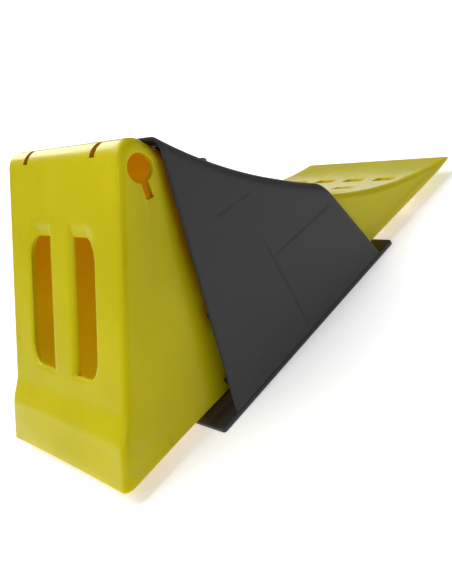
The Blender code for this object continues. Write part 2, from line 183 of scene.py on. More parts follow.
# Latch tongue
TONGUE_Y = (-0.0905, -0.0765)
TONGUE_THICKNESS = 0.003
TONGUE_ROOT_X = 0.1770
TONGUE_END_X = 0.2045
TONGUE_LIP = 0.0040
TONGUE_CLEARANCE = 0.0008
TONGUE_NOSE_GAP = GAP + 0.0004
TONGUE_EDGE = 0.0004
STRIP_START_X = TONGUE_ROOT_X + 0.003
STRIP_STEPS = 8
NOSE_SLOPE_X = TONGUE_END_X - 0.011
NOSE_X = (TONGUE_END_X - 0.007, TONGUE_END_X - 0.004)
LIP_FOOT_X = (TONGUE_END_X - 0.010, TONGUE_END_X - 0.0055)
LIP_BACK_X = TONGUE_END_X - 0.003
LIP_BACK_DROP = 0.0005
LIP_CHAMFER = 0.001
WINDOW_X = (TONGUE_ROOT_X - 0.0026, TONGUE_END_X + 0.0024)
WINDOW_CUT = (0.002, 0.004)

# Colours: linear red, green and blue, then alpha
WHITE = (1.0, 1.0, 1.0, 1.0)
YELLOW_DEEP = (0.560, 0.495, 0.004, 1.0)
YELLOW = (0.620, 0.550, 0.006, 1.0)
YELLOW_FLOW = (0.680, 0.590, 0.015, 1.0)
YELLOW_SCRATCH = (0.720, 0.660, 0.120, 1.0)
# Painted shade: orange-brown mixed into the yellow where it is occluded
YELLOW_PAINTED_SHADE = (0.480, 0.210, 0.002, 1.0)
YELLOW_TINT = (1.0, 0.88, 0.14, 1.0)
HEEL_DUST = (0.520, 0.480, 0.130, 1.0)
# Painted shade and painted glow for the walls of the hollow, low and high
INSIDE_PAINTED_SHADE_LOW = (0.420, 0.290, 0.002, 1.0)
INSIDE_PAINTED_SHADE_HIGH = (0.420, 0.190, 0.001, 1.0)
PAINTED_GLOW_LOW = (0.330, 0.220, 0.000, 1.0)
PAINTED_GLOW_HIGH = (0.330, 0.130, 0.000, 1.0)
SPECK = (0.160, 0.160, 0.150, 1.0)
FLOOR_TINTS = ((0.90, 0.90, 0.90, 1.0), (0.93, 0.93, 0.93, 1.0))
SLEEVE_TONE = 0.020
PLATE_TONE = 0.028
TONGUE_TONE = 0.036
GRAIN = 900.0
TONGUE_GRAIN = 1100.0

# Camera, lights and floor; each square light has a place, a size and a power
CAMERA_PLACE = Vector((-0.3649, -0.5950, 0.3584))
CAMERA_LOOK = Vector((0.45804, 0.77579, -0.43399))
CAMERA_ROLL = math.radians(-29.19)
CAMERA_LENS = 48.75
KEY_LIGHT = (Vector((-1.5, -0.35, 1.3)), 1.0, 6.0)
BEHIND_LIGHT = (Vector((0.45, 1.5, 0.85)), 0.8, 7.0)
SPARK_LIGHT = (Vector((-0.55, 0.0, 1.5)), 0.12, 3.0)
FILL_LIGHT = (Vector((0.3, -1.8, 0.9)), 1.2, 0.3)
LIGHTS_AIM = Vector((0.0, 0.0, 0.08))
SKY_ANGLE = math.radians(55.0)
SKY_STRENGTH = 2.05
SKY_TURN = (math.radians(-26.0), math.radians(-6.0), 0.0)
WORLD_STRENGTH = 0.07
BACKDROP_STRENGTH = 0.95
FLOOR_RADIUS = 40.0
FLOOR_GLOW = 0.45
SHARP_DEGREES = 34.0


# Plane geometry -----------------------------------------------------------------------------

def steps(start, end, count):
    """Evenly spaced values from start to end, both included."""
    return [start + (end - start) * i / count for i in range(count + 1)]


def smooth_step(low, high, value):
    """0 below low, 1 above high, and an even turn between them."""
    share = min(max((value - low) / (high - low), 0.0), 1.0)
    return share * share * (3 - 2 * share)


def arc_centre(start, end, radius):
    """Centre above the chord of a concave arc through two points."""
    middle = (start + end) / 2
    chord = end - start
    rise = math.sqrt(radius ** 2 - (chord.length / 2) ** 2)
    normal = Vector((-chord.y, chord.x)).normalized()
    return middle + normal * rise


RAMP_CENTRE = arc_centre(RAMP_TOP, TIP_TOP, RAMP_RADIUS)


def ramp_z(x, offset=0.0):
    """Height of the ramp, or of a surface that lies `offset` outside it."""
    return RAMP_CENTRE.y - math.sqrt((RAMP_RADIUS - offset) ** 2 - (RAMP_CENTRE.x - x) ** 2)


def ramp_normal(x):
    """Unit normal that points out of the ramp."""
    return (RAMP_CENTRE - Vector((x, ramp_z(x)))).normalized()


def ramp_point(x, offset):
    """Point that stands `offset` off the ramp, along its normal at x."""
    return Vector((x, ramp_z(x))) + ramp_normal(x) * offset


def roof_offset(x):
    """Distance of the sleeve's roof from the ramp: it grows from the rear rim forwards."""
    share = (x - ROOF_OFFSET_X[0]) / (ROOF_OFFSET_X[1] - ROOF_OFFSET_X[0])
    share = min(max(share, 0.0), 1.0)
    return ROOF_OFFSET[0] + (ROOF_OFFSET[1] - ROOF_OFFSET[0]) * share


def roof_point(x, above=0.0):
    """Point on the roof's outside, or `above` it."""
    return ramp_point(x, roof_offset(x) + above)


def back_x(z):
    """Back face: the heel's foot runs through a soft ledge into the leaning back."""
    share = smooth_step(LEDGE_LOW, LEDGE_HIGH, z)
    return (1 - share) * HEEL_LEAN * z + share * (BACK_FOOT + BACK_LEAN * z)


def sole_z(x):
    """Flat sole that rises a little towards the tip's edge."""
    share = max((x - TIP_START) / (LENGTH - TIP_START), 0.0)
    return (TIP_TOP.y - TIP_THICKNESS) * (1 - math.cos(share * math.pi / 2))


def half_width(z):
    """Half the chock's width at a height: the sides lean in slightly."""
    return BASE_WIDTH / 2 - (BASE_WIDTH - TOP_WIDTH) / 2 * z / BACK_TOP.y


def side_y(x, z):
    """Outer half-width of the sleeve: a flat side that leans in upwards and forwards."""
    return FOOT_HALF_WIDTH - SIDE_RUN_IN * (x - PLATE_X[0]) - SIDE_LEAN * (z + SOLE_HEIGHT)


def rim_x(rim, z):
    """X of a rim's straight edge at a height."""
    foot, top = rim
    return foot.x + (top.x - foot.x) * (z - foot.y) / (top.y - foot.y)


def corner_arc(before, corner, after, radius):
    """Centre, start angle and sweep of the arc that rounds a corner."""
    first = (before - corner).normalized()
    second = (after - corner).normalized()
    half_angle = first.angle(second) / 2
    reach = radius / math.tan(half_angle)
    centre = corner + (first + second).normalized() * radius / math.sin(half_angle)
    start = corner + first * reach - centre
    end = corner + second * reach - centre
    return centre, math.atan2(start.y, start.x), -start.angle_signed(end)


def fillet(before, corner, after, radius, count):
    """Points of the arc that rounds a corner."""
    centre, start, sweep = corner_arc(before, corner, after, radius)
    return [centre + Vector((math.cos(turn), math.sin(turn))) * radius
            for turn in steps(start, start + sweep, count)]


def grown(outline, amount):
    """Closed outline moved outwards by an amount; it runs anticlockwise."""
    moved = []
    for i, point in enumerate(outline):
        before = (point - outline[i - 1]).normalized()
        after = (outline[(i + 1) % len(outline)] - point).normalized()
        along = (before + after).normalized()
        stretch = 1 / max(along.dot(after), 0.5)
        moved.append(point + Vector((along.y, -along.x)) * amount * stretch)
    return moved


# Mesh helpers -------------------------------------------------------------------------------

def loft(name, loops):
    """Closed mesh through loops of matching points, capped at both ends."""
    mesh = bpy.data.meshes.new(name)
    bm = bmesh.new()
    rings = [[bm.verts.new(point) for point in loop] for loop in loops]
    bm.faces.new(rings[0])
    bm.faces.new(reversed(rings[-1]))
    for ring, following in zip(rings, rings[1:]):
        for i in range(len(ring)):
            j = (i + 1) % len(ring)
            bm.faces.new((ring[j], ring[i], following[i], following[j]))
    bmesh.ops.recalc_face_normals(bm, faces=bm.faces)
    bm.to_mesh(mesh)
    bm.free()
    return mesh


def prism_y(name, outline, low, high):
    """Solid between two Y limits, each a number or a function of x and z."""
    loops = []
    for limit in (low, high):
        loops.append([(p.x, limit(p.x, p.y) if callable(limit) else limit, p.y) for p in outline])
    return loft(name, loops)


def joined(name, meshes):
    """One mesh that holds several separate solids."""
    bm = bmesh.new()
    for mesh in meshes:
        bm.from_mesh(mesh)
        bpy.data.meshes.remove(mesh)
    result = bpy.data.meshes.new(name)
    bm.to_mesh(result)
    bm.free()
    return result


def new_object(name, mesh):
    """Object in the scene."""
    made = bpy.data.objects.new(name, mesh)
    bpy.context.scene.collection.objects.link(made)
    return made


def evaluated(piece):
    """Replace a piece's mesh by the result of its modifiers."""
    graph = bpy.context.evaluated_depsgraph_get()
    mesh = bpy.data.meshes.new_from_object(piece.evaluated_get(graph))
    piece.modifiers.clear()
    piece.data = mesh


def combine(piece, mesh, operation, finishes, index):
    """Boolean with a solid whose faces keep the finish of the given index."""
    for finish in finishes:
        mesh.materials.append(finish)
    for face in mesh.polygons:
        face.material_index = index
    tool = new_object("tool", mesh)
    modifier = piece.modifiers.new("combine", "BOOLEAN")
    modifier.operation = operation
    modifier.object = tool
    modifier.solver = "EXACT"
    evaluated(piece)
    bpy.data.objects.remove(tool, do_unlink=True)


def finished(piece, node, body):
    """Smooth shading, place in the model's frame and the body that the piece rides on."""
    piece.data.transform(Matrix.Translation(ORIGIN))
    piece.data.shade_smooth()
    piece.data.set_sharp_from_angle(angle=math.radians(SHARP_DEGREES))
    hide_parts(node)
    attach(piece, body)


# Materials ----------------------------------------------------------------------------------

class Nodes:
    """Short way to build a node tree."""

    def __init__(self, name):
        self.material = bpy.data.materials.new(name)
        self.material.use_nodes = True
        self.tree = self.material.node_tree
        self.shader = self.tree.nodes["Principled BSDF"]
        coordinates = self.tree.nodes.new("ShaderNodeTexCoord")
        self.position = coordinates.outputs["Object"]

    def link(self, source, target):
        self.tree.links.new(source, target)

    def add(self, kind, values=None, **properties):
        """New node with its properties and unlinked input values."""
        made = self.tree.nodes.new(kind)
        for key, value in properties.items():
            setattr(made, key, value)
        for key, value in (values or {}).items():
            if isinstance(value, bpy.types.NodeSocket):
                self.link(value, made.inputs[key])
            else:
                made.inputs[key].default_value = value
        return made

    def settle(self, values):
        """Plain values of the shader's own inputs."""
        for key, value in values.items():
            self.shader.inputs[key].default_value = value

    def math(self, operation, first, second=0.0, clamp=False):
        """Result of a math node."""
        made = self.add("ShaderNodeMath", {0: first, 1: second}, operation=operation,
                        use_clamp=clamp)
        return made.outputs[0]

    def noise(self, scale, detail=4.0, roughness=0.5, stretch=(1.0, 1.0, 1.0)):
        """Noise between 0 and 1, drawn out along an axis by a small stretch value."""
        mapping = self.add("ShaderNodeMapping", {"Vector": self.position, "Scale": stretch})
        made = self.add("ShaderNodeTexNoise", {"Vector": mapping.outputs[0], "Scale": scale,
                                               "Detail": detail, "Roughness": roughness})
        return made.outputs["Fac"]

    def band(self, value, low, high):
        """Smooth step of a value."""
        made = self.add("ShaderNodeMapRange", {"Value": value, "From Min": low, "From Max": high},
                        interpolation_type="SMOOTHSTEP")
        return made.outputs["Result"]

    def mix(self, share, first, second):
        """Colour mixed by a share."""
        made = self.add("ShaderNodeMix", {"Factor": share, "A": first, "B": second},
                        data_type="RGBA")
        return made.outputs["Result"]

    def axis(self, name):
        """One coordinate of the surface point."""
        made = self.add("ShaderNodeSeparateXYZ", {0: self.position})
        return made.outputs[name]

    def bump(self, layers):
        """Chain of bump layers, each a height, a strength and a distance."""
        normal = None
        for height, strength, distance in layers:
            values = {"Height": height, "Strength": strength, "Distance": distance}
            if normal is not None:
                values["Normal"] = normal
            normal = self.add("ShaderNodeBump", values).outputs["Normal"]
        self.link(normal, self.shader.inputs["Normal"])

    def segment(self, start, end, radius):
        """1 on a line between two points of the XZ plane, falling to 0 at a radius."""
        run = end - start
        x = self.math("SUBTRACT", self.axis("X"), start.x + ORIGIN.x)
        z = self.math("SUBTRACT", self.axis("Z"), start.y + ORIGIN.z)
        along = self.math("ADD", self.math("MULTIPLY", x, run.x), self.math("MULTIPLY", z, run.y))
        share = self.math("DIVIDE", along, run.length_squared, clamp=True)
        away_x = self.math("SUBTRACT", x, self.math("MULTIPLY", share, run.x))
        away_z = self.math("SUBTRACT", z, self.math("MULTIPLY", share, run.y))
        squared = self.math("ADD", self.math("POWER", away_x, 2.0),
                            self.math("POWER", away_z, 2.0))
        return self.band(self.math("SQRT", squared), radius, 0.0)


def yellow_polyethylene():
    """Glossy yellow moulding: flow marks, scratches, dust at the heel, painted orange shade where
    the surface is occluded.
    """
    nodes = Nodes("yellow_polyethylene")
    broad = nodes.noise(9.0, 3.0)
    flow = nodes.noise(26.0, 5.0, 0.6, (1.0, 1.0, 0.22))
    colour = nodes.mix(nodes.band(broad, 0.35, 0.68), YELLOW_DEEP, YELLOW)
    colour = nodes.mix(nodes.math("MULTIPLY", nodes.band(flow, 0.50, 0.75), 0.30), colour,
                       YELLOW_FLOW)
    dust = nodes.math("MULTIPLY", nodes.band(nodes.noise(34.0, 6.0, 0.65), 0.50, 0.72),
                      nodes.band(nodes.axis("Z"), 0.050, 0.015))
    colour = nodes.mix(nodes.math("MULTIPLY", dust, 0.35), colour, HEEL_DUST)
    scratch = nodes.band(nodes.noise(120.0, 3.0, 0.7, (0.12, 1.0, 1.0)), 0.66, 0.74)
    colour = nodes.mix(nodes.math("MULTIPLY", scratch, 0.22), colour, YELLOW_SCRATCH)
    # Painted shade: where ambient occlusion finds nearby surfaces, as by the sleeve's rim and in
    # the openings, the colour turns orange-brown
    corner = nodes.add("ShaderNodeAmbientOcclusion", {"Distance": 0.014}, samples=8)
    painted_shade_share = nodes.band(corner.outputs["AO"], 0.84, 0.42)
    colour = nodes.mix(painted_shade_share, colour, YELLOW_PAINTED_SHADE)
    nodes.link(colour, nodes.shader.inputs["Base Color"])
    rough = nodes.math("ADD", 0.23, nodes.math("MULTIPLY", flow, 0.14))
    rough = nodes.math("ADD", rough, nodes.math("MULTIPLY", dust, 0.25))
    rough = nodes.math("ADD", rough, nodes.math("MULTIPLY", scratch, 0.15))
    nodes.link(rough, nodes.shader.inputs["Roughness"])
    nodes.bump([(nodes.noise(22.0, 3.0), 0.25, 0.0012), (nodes.noise(420.0, 3.0), 0.10, 0.0003),
                (scratch, 0.10, 0.0001)])
    nodes.settle({"IOR": 1.50, "Specular IOR Level": 0.35, "Specular Tint": YELLOW_TINT,
                  "Coat Weight": 0.10, "Coat Roughness": 0.08, "Subsurface Weight": 0.35,
                  "Subsurface Radius": (1.0, 0.42, 0.04), "Subsurface Scale": 0.008})
    return nodes.material


def inside_painted_shade_and_glow():
    """Walls of the hollow: painted shade as a dark orange base colour and a painted glow from
    emission, both more orange higher up, stand in for light through the translucent moulding.
    """
    nodes = Nodes("inside_painted_shade_and_glow")
    height = nodes.band(nodes.axis("Z"), 0.02, 0.21)
    cloud = nodes.band(nodes.noise(12.0, 3.0), 0.30, 0.75)
    # Painted shade: dark orange base colour, more orange higher up
    colour = nodes.mix(height, INSIDE_PAINTED_SHADE_LOW, INSIDE_PAINTED_SHADE_HIGH)
    nodes.link(colour, nodes.shader.inputs["Base Color"])
    # Painted glow: emission stands in for light coming through the moulding
    glow = nodes.mix(height, PAINTED_GLOW_LOW, PAINTED_GLOW_HIGH)
    nodes.link(glow, nodes.shader.inputs["Emission Color"])
    strength = nodes.math("ADD", 0.55, nodes.math("MULTIPLY", cloud, 0.20))
    nodes.link(strength, nodes.shader.inputs["Emission Strength"])
    nodes.settle({"Roughness": 0.60, "Specular IOR Level": 0.15})
    nodes.bump([(nodes.noise(40.0, 4.0), 0.20, 0.0008)])
    return nodes.material


def grey(red, green=None, blue=None):
    """Opaque colour; channels left out follow the first."""
    green = red if green is None else green
    return (red, green, red if blue is None else blue, 1.0)


def dark_polypropylene(name, tone, grain, shaded_dents):
    """Satin dark-grey moulding: fine grain, cloudy flow, lighter edges as rub wear and painted
    highlight, dust specks, painted shade along the listed dents.
    """
    nodes = Nodes(name)
    cloud = nodes.noise(11.0, 4.0, 0.55, (1.0, 1.0, 0.6))
    low = grey(tone * 0.88, tone * 0.88, tone * 0.91)
    high = grey(tone * 1.16, tone * 1.15, tone * 1.16)
    colour = nodes.mix(nodes.band(cloud, 0.32, 0.70), low, high)
    drawn = nodes.band(nodes.noise(170.0, 3.0, 0.6, (0.16, 1.0, 0.7)), 0.64, 0.74)
    colour = nodes.mix(nodes.math("MULTIPLY", drawn, 0.25), colour, grey(tone * 2.0))
    speck = nodes.band(nodes.noise(620.0, 1.0), 0.80, 0.84)
    colour = nodes.mix(nodes.math("MULTIPLY", speck, 0.50), colour, SPECK)
    dent_and_shade_lines = None
    for start, end in shaded_dents:
        line = nodes.segment(Vector(start), Vector(end), MARK_RADIUS)
        dent_and_shade_lines = line if dent_and_shade_lines is None else nodes.math("MAXIMUM", dent_and_shade_lines, line)
    heights = [(cloud, 0.18, 0.0020), (nodes.noise(grain, 3.0), 0.16, 0.00025),
               (drawn, 0.08, 0.0001)]
    rough = nodes.math("ADD", 0.42, nodes.math("MULTIPLY", cloud, 0.16))
    # Along the listed lines: a shallow dent bump and a rougher surface, and a darker colour that
    # is painted shade
    if dent_and_shade_lines is not None:
        broken_dent_and_shade = nodes.math("MULTIPLY", dent_and_shade_lines, nodes.band(nodes.noise(45.0, 3.0), 0.30, 0.60))
        colour = nodes.mix(nodes.math("MULTIPLY", broken_dent_and_shade, 0.34), colour,
                           grey(tone * 0.45, tone * 0.45, tone * 0.47))
        heights.append((broken_dent_and_shade, 0.30, -0.0003))
        rough = nodes.math("ADD", rough, nodes.math("MULTIPLY", broken_dent_and_shade, 0.15))
    # Lighter convex edges found by pointiness: rub wear, and also a painted edge highlight
    worn_and_highlit = nodes.band(nodes.add("ShaderNodeNewGeometry").outputs["Pointiness"], 0.52, 0.60)
    colour = nodes.mix(nodes.math("MULTIPLY", worn_and_highlit, 0.35), colour, grey(tone * 2.6))
    nodes.link(colour, nodes.shader.inputs["Base Color"])
    nodes.link(rough, nodes.shader.inputs["Roughness"])
    nodes.bump(heights)
    nodes.settle({"IOR": 1.47})
    return nodes.material


# Chock --------------------------------------------------------------------------------------

def crest_arc():
    """Centre, start and sweep of the arc between the ramp and the back."""
    before = Vector((CREST_START, ramp_z(CREST_START)))
    foot = Vector((back_x(LEDGE_HIGH), LEDGE_HIGH))
    return corner_arc(before, BACK_TOP, foot, CREST_RADIUS)


def chock_section(inset):
    """Side profile moved inwards, but less where the wedge is thin and not at the sole."""
    heel = inset * math.hypot(1.0, HEEL_LEAN)
    points = [Vector((heel + x * (1 - heel / HEEL_REACH), 0.0))
              for x in steps(0.0, HEEL_REACH, HEEL_STEPS)]
    points += [Vector((x, 0.0)) for x in steps(SOLE_START, TIP_START, SOLE_STEPS)]
    for x in steps(TIP_START, LENGTH, TIP_STEPS)[1:]:
        share = (x - TIP_START) / (LENGTH - TIP_START)
        points.append(Vector((x - inset * THINNING_LEAST * share, sole_z(x))))
    for x in steps(LENGTH, CREST_START, RAMP_STEPS):
        share = min(1.0, max(THINNING_LEAST, (LENGTH - x) / THINNING_REACH))
        points.append(ramp_point(x, -inset * share))
    centre, start, sweep = crest_arc()
    for turn in steps(start, start + sweep, CREST_STEPS):
        points.append(centre + Vector((math.cos(turn), math.sin(turn))) * (CREST_RADIUS - inset))
    top = centre.y + CREST_RADIUS * math.sin(start + sweep)
    up = Vector((BACK_LEAN, 1.0)).normalized()
    heights = []
    stretch_top = top
    for stretch_foot, count in BACK_STRETCHES:
        heights += steps(stretch_top, stretch_foot, count)[1:]
        stretch_top = stretch_foot
    for z in heights[:-1]:
        slide = inset * BACK_LEAN * (1 - z / top)
        points.append(Vector((back_x(z), z)) + INWARD * inset + up * slide)
    return points


def grip_relief(y, z):
    """Depth of the rounded lips, the rounded bar and the dished tops of the grip slots."""
    near, far = GRIP_Y
    low, high = GRIP_Z
    across = abs(y)
    radius = GRIP_RADIUS if across > (near + far) / 2 else BAR_CORNER
    side = abs(across - (near + far) / 2) - (far - near) / 2 + radius
    rise = abs(z - (low + high) / 2) - (high - low) / 2 + radius
    away = math.hypot(max(side, 0.0), max(rise, 0.0)) + min(max(side, rise), 0.0) - radius
    if away <= 0.0:
        return LIP_RADIUS
    to_bar = max(near - across, 0.0)
    bar_share = (to_bar / math.hypot(to_bar, max(rise - radius, 0.0) + 1e-6)) ** 2
    top_share = 0.0
    if z > high - GRIP_RADIUS and across > near - DISH_SIDE:
        top_share = min(max((z - high + DISH_RISE) / (away + DISH_RISE), 0.0), 1.0)
    lip = LIP_RADIUS + (BAR_RADIUS - LIP_RADIUS) * bar_share
    depth = 0.0
    if away < lip:
        depth = lip - math.sqrt(lip ** 2 - (lip - away) ** 2)
    dish = DISH_DEPTH * (1 - smooth_step(0.0, DISH_REACH, away)) * top_share
    return max(depth, dish)


def chock_skin():
    """Outside of the wedge as a fine loft, with its lips, flare and arched heel."""
    sections = [(chock_section(EDGE_RADIUS * (1 - math.sin(turn))),
                 EDGE_RADIUS * (1 - math.cos(turn)))
                for turn in steps(0.0, math.pi / 2, EDGE_STEPS)]
    flat = chock_section(0.0)
    loops = [[(p.x, depth - half_width(p.y), p.y) for p in section] for section, depth in sections]
    for share in steps(-1.0, 1.0, SKIN_STEPS)[1:-1]:
        loop = []
        for p in flat:
            y = share * (half_width(p.y) - EDGE_RADIUS)
            depth = 0.0
            on_back = p.x < back_x(p.y) + GAP
            near_grip = abs(y) < GRIP_Y[1] + DISH_REACH and LEDGE_HIGH < p.y < DISH_TOP
            if on_back and near_grip:
                depth = grip_relief(y, p.y)
            loop.append((p.x + INWARD.x * depth, y, p.y + INWARD.y * depth))
        loops.append(loop)
    loops += [[(p.x, half_width(p.y) - depth, p.y) for p in section]
              for section, depth in reversed(sections)]
    return shaped_heel(loft("chock_visual", loops))


def shaped_heel(mesh):
    """Cut the flat sides near the heel into strips, then flare the heel and arch its sole."""
    bm = bmesh.new()
    bm.from_mesh(mesh)
    cuts = [((x, 0.0, 0.0), (1.0, 0.0, 0.0)) for x in steps(*HEEL_CUTS_X)]
    cuts += [((0.0, 0.0, z), (0.0, 0.0, 1.0)) for z in steps(*HEEL_CUTS_Z)]
    for place, normal in cuts:
        caps = [face for face in bm.faces if abs(face.normal.y) > SIDE_FACING]
        parts = set(caps)
        for face in caps:
            parts.update(face.edges)
            parts.update(face.verts)
        bmesh.ops.bisect_plane(bm, geom=list(parts), plane_co=place, plane_no=normal)
    for vertex in bm.verts:
        x, y, z = vertex.co
        near_heel = 1 - smooth_step(0.0, HEEL_REACH, x)
        flare = HEEL_FLARE * near_heel * (1 - smooth_step(*FLARE_FADE, z))
        arch = HEEL_ARCH * (1 - (y / half_width(0.0)) ** 2) * near_heel ** 2
        vertex.co.y += flare * y / half_width(z)
        vertex.co.z += arch * (1 - smooth_step(0.0, ARCH_FADE, z))
    bm.to_mesh(mesh)
    bm.free()
    return mesh


def chock_cavities():
    """Two hollows beside the middle web, open below the sole and solid at the tip."""
    slope = math.hypot(1.0, BACK_LEAN)
    inner_back = [Vector((back_x(z) + WALL * slope, z)) for z in steps(LEDGE_HIGH, 0.0, 12)]
    inner_back.append(Vector((inner_back[-1].x, -OVERSHOOT)))
    roof = [Vector((x, ramp_z(x, -WALL))) for x in steps(CAVITY_FRONT, CREST_START, 40)]
    inner_top = BACK_TOP - Vector((0.0, CREST_WALL))
    crest = fillet(roof[-1], inner_top, inner_back[0], CREST_RADIUS - WALL, 8)
    outline = [Vector((CAVITY_FRONT, -OVERSHOOT))] + roof + crest + inner_back

    def left(x, z):
        return -(half_width(z) - WALL)

    def right(x, z):
        return half_width(z) - WALL

    return joined("cavities", [prism_y("cavity", outline, left, -WEB / 2),
                               prism_y("cavity", outline, WEB / 2, right)])


def grip_slots():
    """Two upright finger slots in the back, straight beside the bar and round outside."""
    low, high = GRIP_Z
    solids = []
    for side in (-1, 1):
        near, far = (side * y for y in GRIP_Y)
        corners = [Vector((near, low)), Vector((far, low)), Vector((far, high)),
                   Vector((near, high))]
        outline = [corners[0]]
        outline += fillet(corners[0], corners[1], corners[2], GRIP_RADIUS, GRIP_TURNS)
        outline += fillet(corners[1], corners[2], corners[3], GRIP_RADIUS, GRIP_TURNS)
        outline.append(corners[3])
        solids.append(loft("grip", [[(back_x(p.y) + INWARD.x * depth, p.x, p.y + INWARD.y * depth)
                                     for p in outline] for depth in GRIP_CUT]))
    return joined("grip", solids)


def rounded_outline(corners, radius):
    """Closed outline with each corner rounded."""
    outline = []
    for i, corner in enumerate(corners):
        before, after = corners[i - 1], corners[(i + 1) % len(corners)]
        outline += fillet(before, corner, after, radius, 4)
    return outline


def lipped(outline, place, lip):
    """Cutter whose mouth flares in small turns; `place` sets a point at a depth."""
    loops = []
    for share in steps(0.0, 1.0, LIP_STEPS):
        turn = share * math.pi / 2
        grow = lip * (1 - math.sin(turn))
        depth = lip * (1 - math.cos(turn)) - SKIM
        loops.append([place(p, depth) for p in grown(outline, grow)])
    mouth = [place(p, -CUT_ROOM) for p in grown(outline, lip)]
    floor = [place(p, WALL + CUT_ROOM) for p in outline]
    return loft("lipped", [mouth] + loops + [floor])


def keyhole_outline():
    """Round head with a straight neck that leans down to its foot."""
    down = (KEYHOLE_FOOT - KEYHOLE_HEAD).normalized()
    across = Vector((-down.y, down.x))
    half = KEYHOLE_NECK / 2
    opening = math.asin(half / KEYHOLE_RADIUS)
    head = [KEYHOLE_HEAD + (down * math.cos(turn) + across * math.sin(turn)) * KEYHOLE_RADIUS
            for turn in steps(opening, math.tau - opening, KEYHOLE_TURNS)]
    return head + [KEYHOLE_FOOT - across * half, KEYHOLE_FOOT + across * half]


def keyholes():
    """Keyhole with a soft lip in each side wall."""
    outline = grown(rounded_outline(keyhole_outline(), KEYHOLE_CORNER), -KEYHOLE_LIP)
    solids = []
    for side in (-1, 1):
        def place(p, depth, side=side):
            return (p.x, side * (half_width(p.y) - depth), p.y)
        solids.append(lipped(outline, place, KEYHOLE_LIP))
    return joined("keyholes", solids)


def crest_slots():
    """Narrow slots over the crest."""
    foot = Vector((back_x(CREST_SLOT_LOW), CREST_SLOT_LOW))
    outline = [foot + INWARD * depth for depth in GRIP_CUT]
    outline += CREST_SLOT_TOP
    solids = []
    for side in (-1, 1):
        middle = side * CREST_SLOT_Y
        solids.append(prism_y("crest", outline, middle - CREST_SLOT_WIDTH / 2,
                              middle + CREST_SLOT_WIDTH / 2))
    return joined("crest", solids)


def ramp_slots():
    """Rows of through slots in the ramp, moved in turn a quarter pitch to either side."""
    length, width = RAMP_SLOT
    corners = [Vector((-length / 2, -width / 2)), Vector((length / 2, -width / 2)),
               Vector((length / 2, width / 2)), Vector((-length / 2, width / 2))]
    outline = rounded_outline(corners, RAMP_SLOT_CORNER)
    solids = []
    for row in range(RAMP_ROWS):
        distance = row * RAMP_ROW_PITCH
        x = RAMP_ROW_FIRST - distance * ramp_normal(RAMP_ROW_FIRST - distance).y
        normal = ramp_normal(x)
        along = Vector((normal.y, -normal.x))
        centre = Vector((x, ramp_z(x)))
        shift = row % 2 / 2 - 0.25 - (RAMP_COLUMNS - 1) / 2
        for column in range(RAMP_COLUMNS):
            y = (column + shift) * RAMP_SLOT_PITCH

            def place(p, depth, centre=centre, along=along, normal=normal, y=y):
                spot = centre + along * p.x - normal * depth
                return (spot.x, y + p.y, spot.y)
            solids.append(lipped(outline, place, RAMP_SLOT_LIP))
    return joined("ramp_slots", solids)


def build_chock(skin, inside):
    """Yellow wedge with its hollow and openings."""
    piece = new_object("chock_moulding", chock_skin())
    finishes = [skin, inside]
    for finish in finishes:
        piece.data.materials.append(finish)
    combine(piece, chock_cavities(), "DIFFERENCE", finishes, 1)
    for openings in (grip_slots(), keyholes(), crest_slots(), ramp_slots()):
        combine(piece, openings, "DIFFERENCE", finishes, 0)
    finished(piece, "chock_body", "chock")


# Holder -------------------------------------------------------------------------------------

def arch_stations():
    """Places along one half of the arch: up the wall, round the corner, over the roof."""
    stations = [("wall", share) for share in steps(0.0, 1.0, 30)]
    stations += [("corner", turn) for turn in steps(0.0, math.pi / 2, 8)[1:]]
    stations += [("roof", share) for share in steps(0.0, 1.0, 14)[1:]]
    return stations


def arch_point(station, x, inset):
    """Y and Z of a station at x, on the surface that lies `inset` inside the sleeve."""
    kind, value = station
    foot_z = PLATE_THICKNESS + GAP - SOLE_HEIGHT
    level_x = max(x, BACK_TOP.x)
    radius = ROOF_RADIUS - inset
    roof_z = ramp_z(level_x, roof_offset(level_x) - inset)
    drop = radius / ramp_normal(level_x).y
    if kind == "wall":
        z = foot_z + (roof_z - drop - foot_z) * value
        return side_y(x, z) - inset, z
    if kind == "corner":
        z = roof_z - drop * (1 - math.sin(value))
        return side_y(x, z) - inset - radius * (1 - math.cos(value)), z
    return (side_y(x, roof_z) - inset - radius) * (1 - value), roof_z


def sleeve_row(share, push, inset):
    """Arch at a share of the way between the rims, pushed along X; x is found by rounds."""
    stations = arch_stations()
    half = []
    for station in stations:
        x = (REAR_RIM[0].x + FRONT_RIM[0].x) / 2
        for _ in range(RIM_ROUNDS):
            y, z = arch_point(station, x, inset)
            x = rim_x(REAR_RIM, z) * (1 - share) + rim_x(FRONT_RIM, z) * share + push
        half.append((x, y, z))
    left = [(x, -y, z) for x, y, z in half]
    return left + list(reversed(half))[1:]


